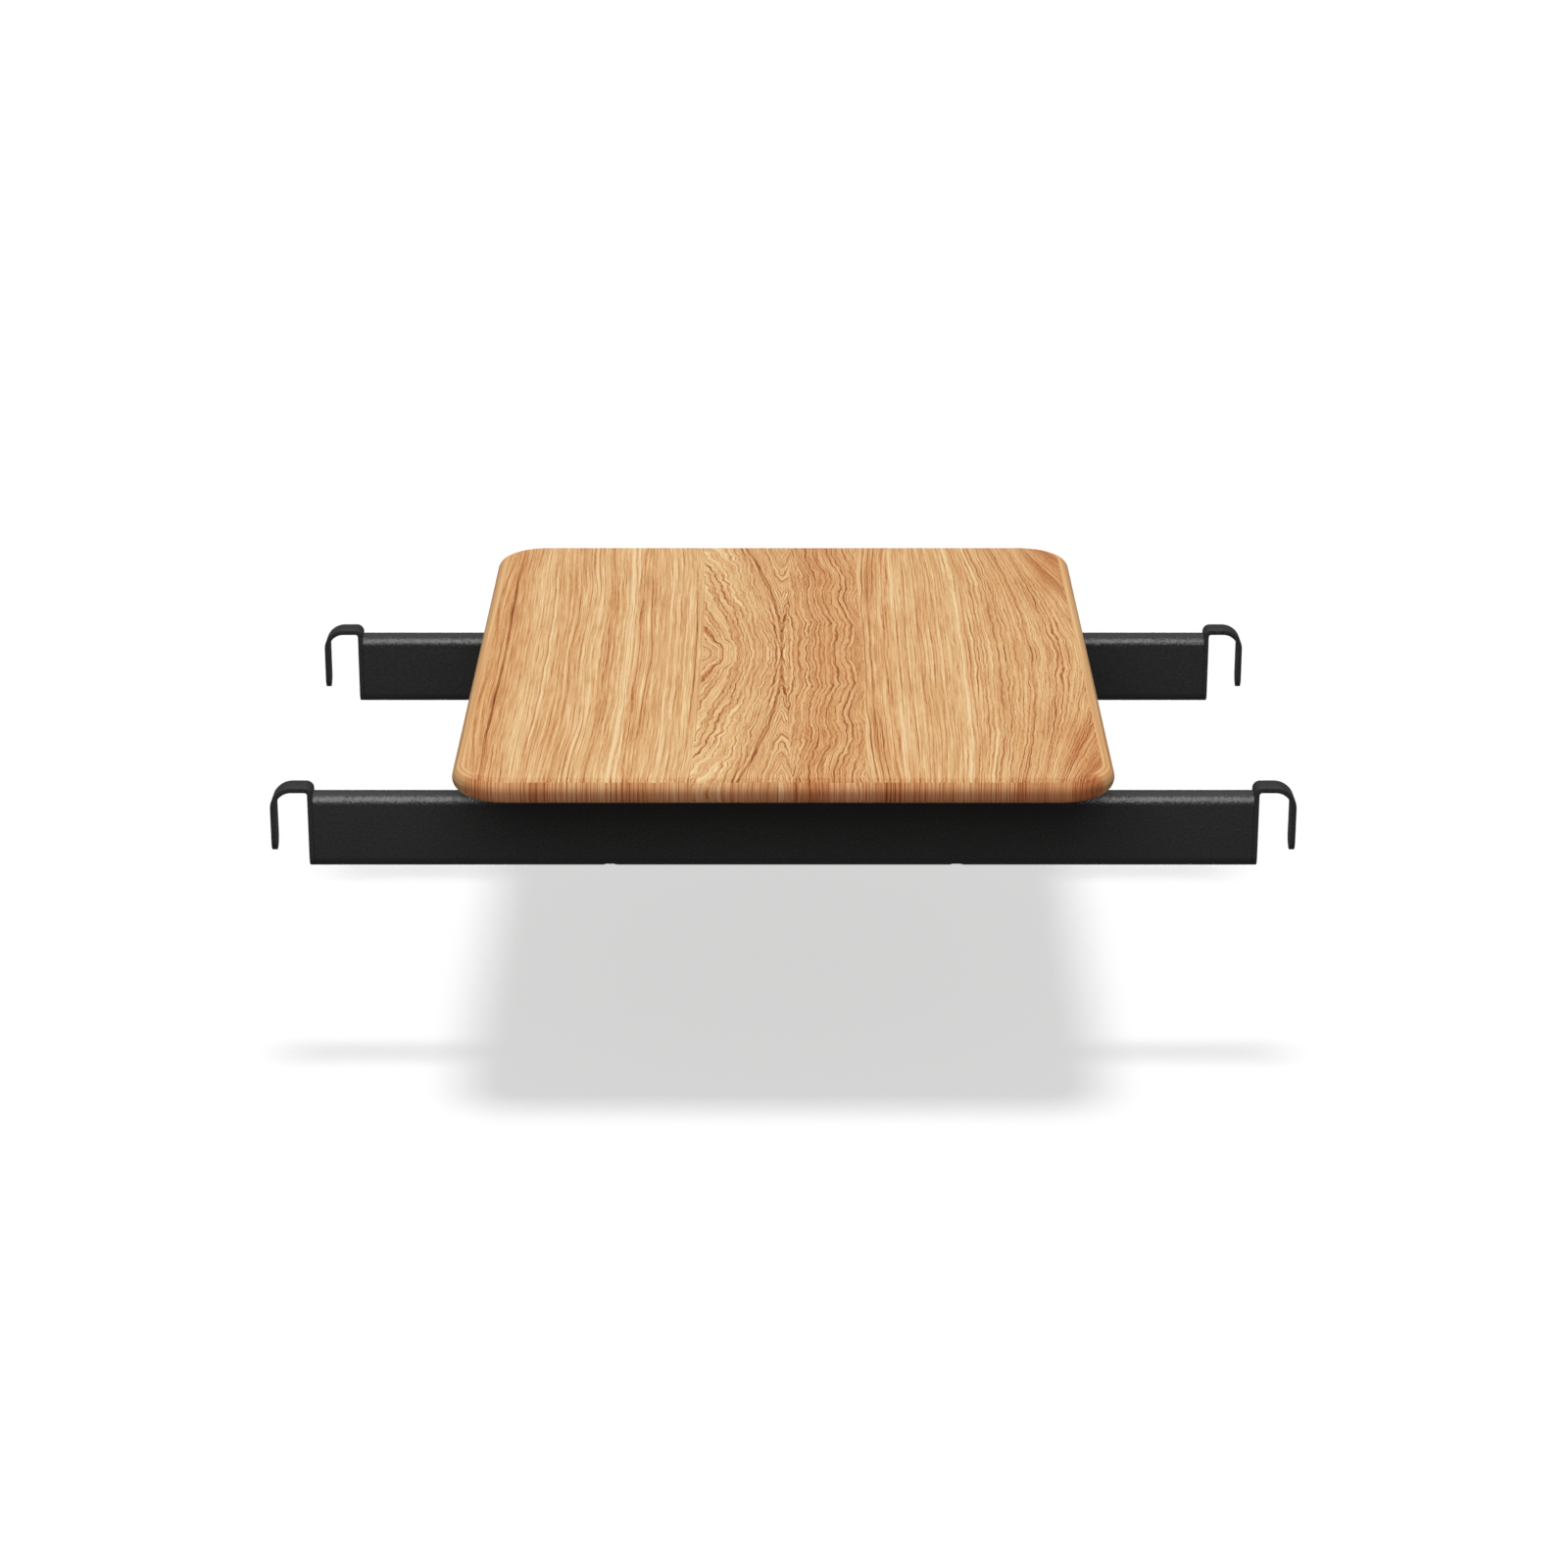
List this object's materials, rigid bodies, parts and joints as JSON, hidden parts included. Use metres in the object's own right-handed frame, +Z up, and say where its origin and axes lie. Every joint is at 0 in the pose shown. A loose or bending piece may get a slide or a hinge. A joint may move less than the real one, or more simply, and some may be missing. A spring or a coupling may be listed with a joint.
{
  "type": "hook-on shelf",
  "caption": "Wooden shelf deck with round corners on two flat-oval steel rails, whose ends carry bent flat-bar hooks that hang over a pair of parallel host tubes.",
  "frame": {"origin": "under the middle of the deck, at the height of the rails' lowest line, which is the shelf's lowest point", "axes": "+X along the rails to the right, +Y to the back, +Z up"},
  "size_m": [0.8368, 0.655, 0.1129],
  "materials": {
    "deck_wood": "oiled oak, grain running front to back",
    "black_coat": "fine-textured matt black powder coat",
    "bolt_steel": "black oxide",
    "insert_brass": "plain turned brass"
  },
  "bodies": {
    "root": {"deck": "deck_wood", "front_rail": "black_coat", "rear_rail": "black_coat", "front_left_hook": "black_coat", "front_right_hook": "black_coat", "rear_left_hook": "black_coat", "rear_right_hook": "black_coat", "front_left_post": "black_coat", "front_right_post": "black_coat", "rear_left_post": "black_coat", "rear_right_post": "black_coat", "front_left_bolt": "bolt_steel", "front_right_bolt": "bolt_steel", "rear_left_bolt": "bolt_steel", "rear_right_bolt": "bolt_steel", "front_left_insert": "insert_brass", "front_right_insert": "insert_brass", "rear_left_insert": "insert_brass", "rear_right_insert": "insert_brass"}
  },
  "joints": []
}
